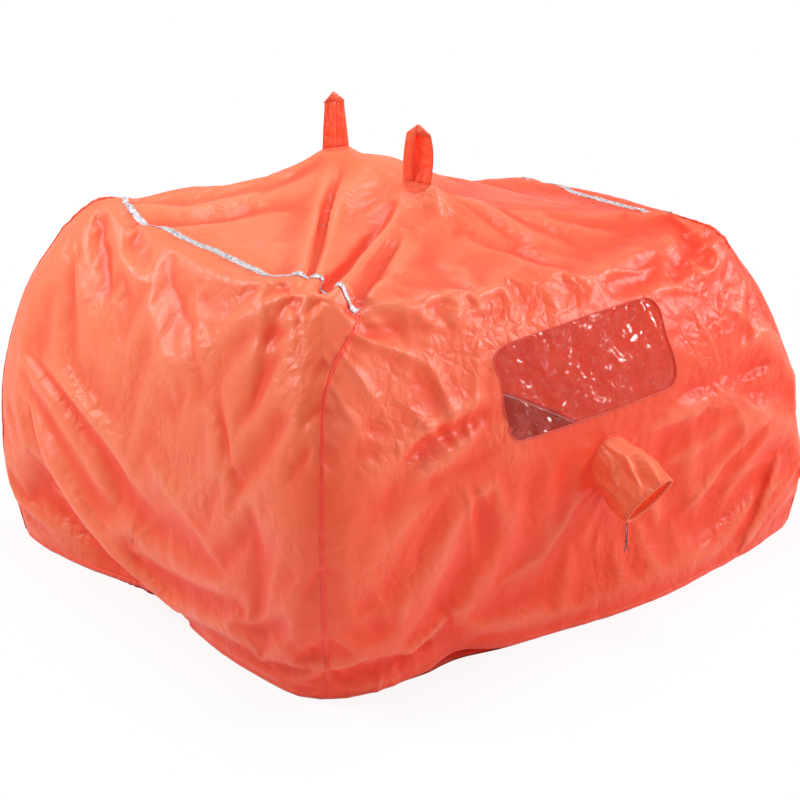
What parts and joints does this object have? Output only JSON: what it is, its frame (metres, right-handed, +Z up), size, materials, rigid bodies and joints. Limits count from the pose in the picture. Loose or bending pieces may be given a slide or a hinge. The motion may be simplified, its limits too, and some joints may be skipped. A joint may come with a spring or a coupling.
{
  "type": "group shelter",
  "caption": "Bag-like emergency shelter of thin orange cloth with a clear window, a drawcord vent sleeve, ridge loops, reflective seam strips and seats along its long hems.",
  "frame": {"origin": "middle of the footprint on the floor, drawcord left out", "axes": "+X along the shelter to the right as one faces the window, -Y out of the window, +Z up"},
  "size_m": [1.6636, 1.4526, 1.1348],
  "materials": {
    "canopy_cloth": "thin coated nylon, slightly shiny, creased",
    "seam_tape": "woven binding tape folded over a seam",
    "hem_tape": "rolled hem of the same cloth, stitched",
    "reflective_tape": "silver reflective tape on cloth",
    "clear_film": "clear flexible film, creased and glossy",
    "loop_cloth": "doubled coated nylon, stitched along its edge",
    "drawcord": "thin braided cord, grey with dark flecks",
    "seat_cloth": "heavier coated cloth, matt"
  },
  "bodies": {
    "canopy": {"body_panel": "canopy_cloth", "left_end_panel": "canopy_cloth", "right_end_panel": "canopy_cloth", "front_left_seam": "seam_tape", "rear_left_seam": "seam_tape", "front_right_seam": "seam_tape", "rear_right_seam": "seam_tape", "left_reflective_strip": "reflective_tape", "right_reflective_strip": "reflective_tape", "hem_tape_front": "hem_tape", "hem_tape_rear": "hem_tape", "hem_tape_left": "hem_tape", "hem_tape_right": "hem_tape", "window_film": "clear_film", "vent_root_binding": "seam_tape", "near_loop_patch": "loop_cloth", "far_loop_patch": "loop_cloth", "front_seat_gusset": "seat_cloth", "rear_seat_gusset": "seat_cloth"},
    "near_loop": {"near_loop": "loop_cloth"},
    "far_loop": {"far_loop": "loop_cloth"},
    "vent": {"vent_sleeve": "canopy_cloth", "drawcord_loop": "drawcord"},
    "drawcord": {"drawcord_strand_left": "drawcord", "drawcord_strand_right": "drawcord", "drawcord_knot": "drawcord", "drawcord_tail_left": "drawcord", "drawcord_tail_right": "drawcord"},
    "front_seat": {"front_seat": "seat_cloth", "front_seat_tape": "seam_tape"},
    "rear_seat": {"rear_seat": "seat_cloth", "rear_seat_tape": "seam_tape"}
  },
  "joints": [
    {"name": "near_loop_fold", "type": "hinge", "parent": "canopy", "child": "near_loop", "pos_m": [-0.12541, -0.08587, 0.98138], "axis": [0.309, -0.9511, 0], "range_deg": [-75, 75]},
    {"name": "far_loop_fold", "type": "hinge", "parent": "canopy", "child": "far_loop", "pos_m": [-0.12541, 0.22413, 0.99822], "axis": [0.9659, -0.2588, 0], "range_deg": [-75, 75]},
    {"name": "vent_swing", "type": "hinge", "parent": "canopy", "child": "vent", "pos_m": [0.04581, -0.57936, 0.38406], "axis": [1, 0.0007, 0], "range_deg": [-30, 15]},
    {"name": "drawcord_pull", "type": "slide", "parent": "vent", "child": "drawcord", "axis": [0, 0, -1], "range_m": [0, 0.04]},
    {"name": "front_seat_fold", "type": "hinge", "parent": "canopy", "child": "front_seat", "pos_m": [0.00459, -0.52062, 0.003], "axis": [1, 0, 0], "range_deg": [0, 90]},
    {"name": "rear_seat_fold", "type": "hinge", "parent": "canopy", "child": "rear_seat", "pos_m": [0.00459, 0.65888, 0.003], "axis": [-1, 0, 0], "range_deg": [0, 90]}
  ]
}
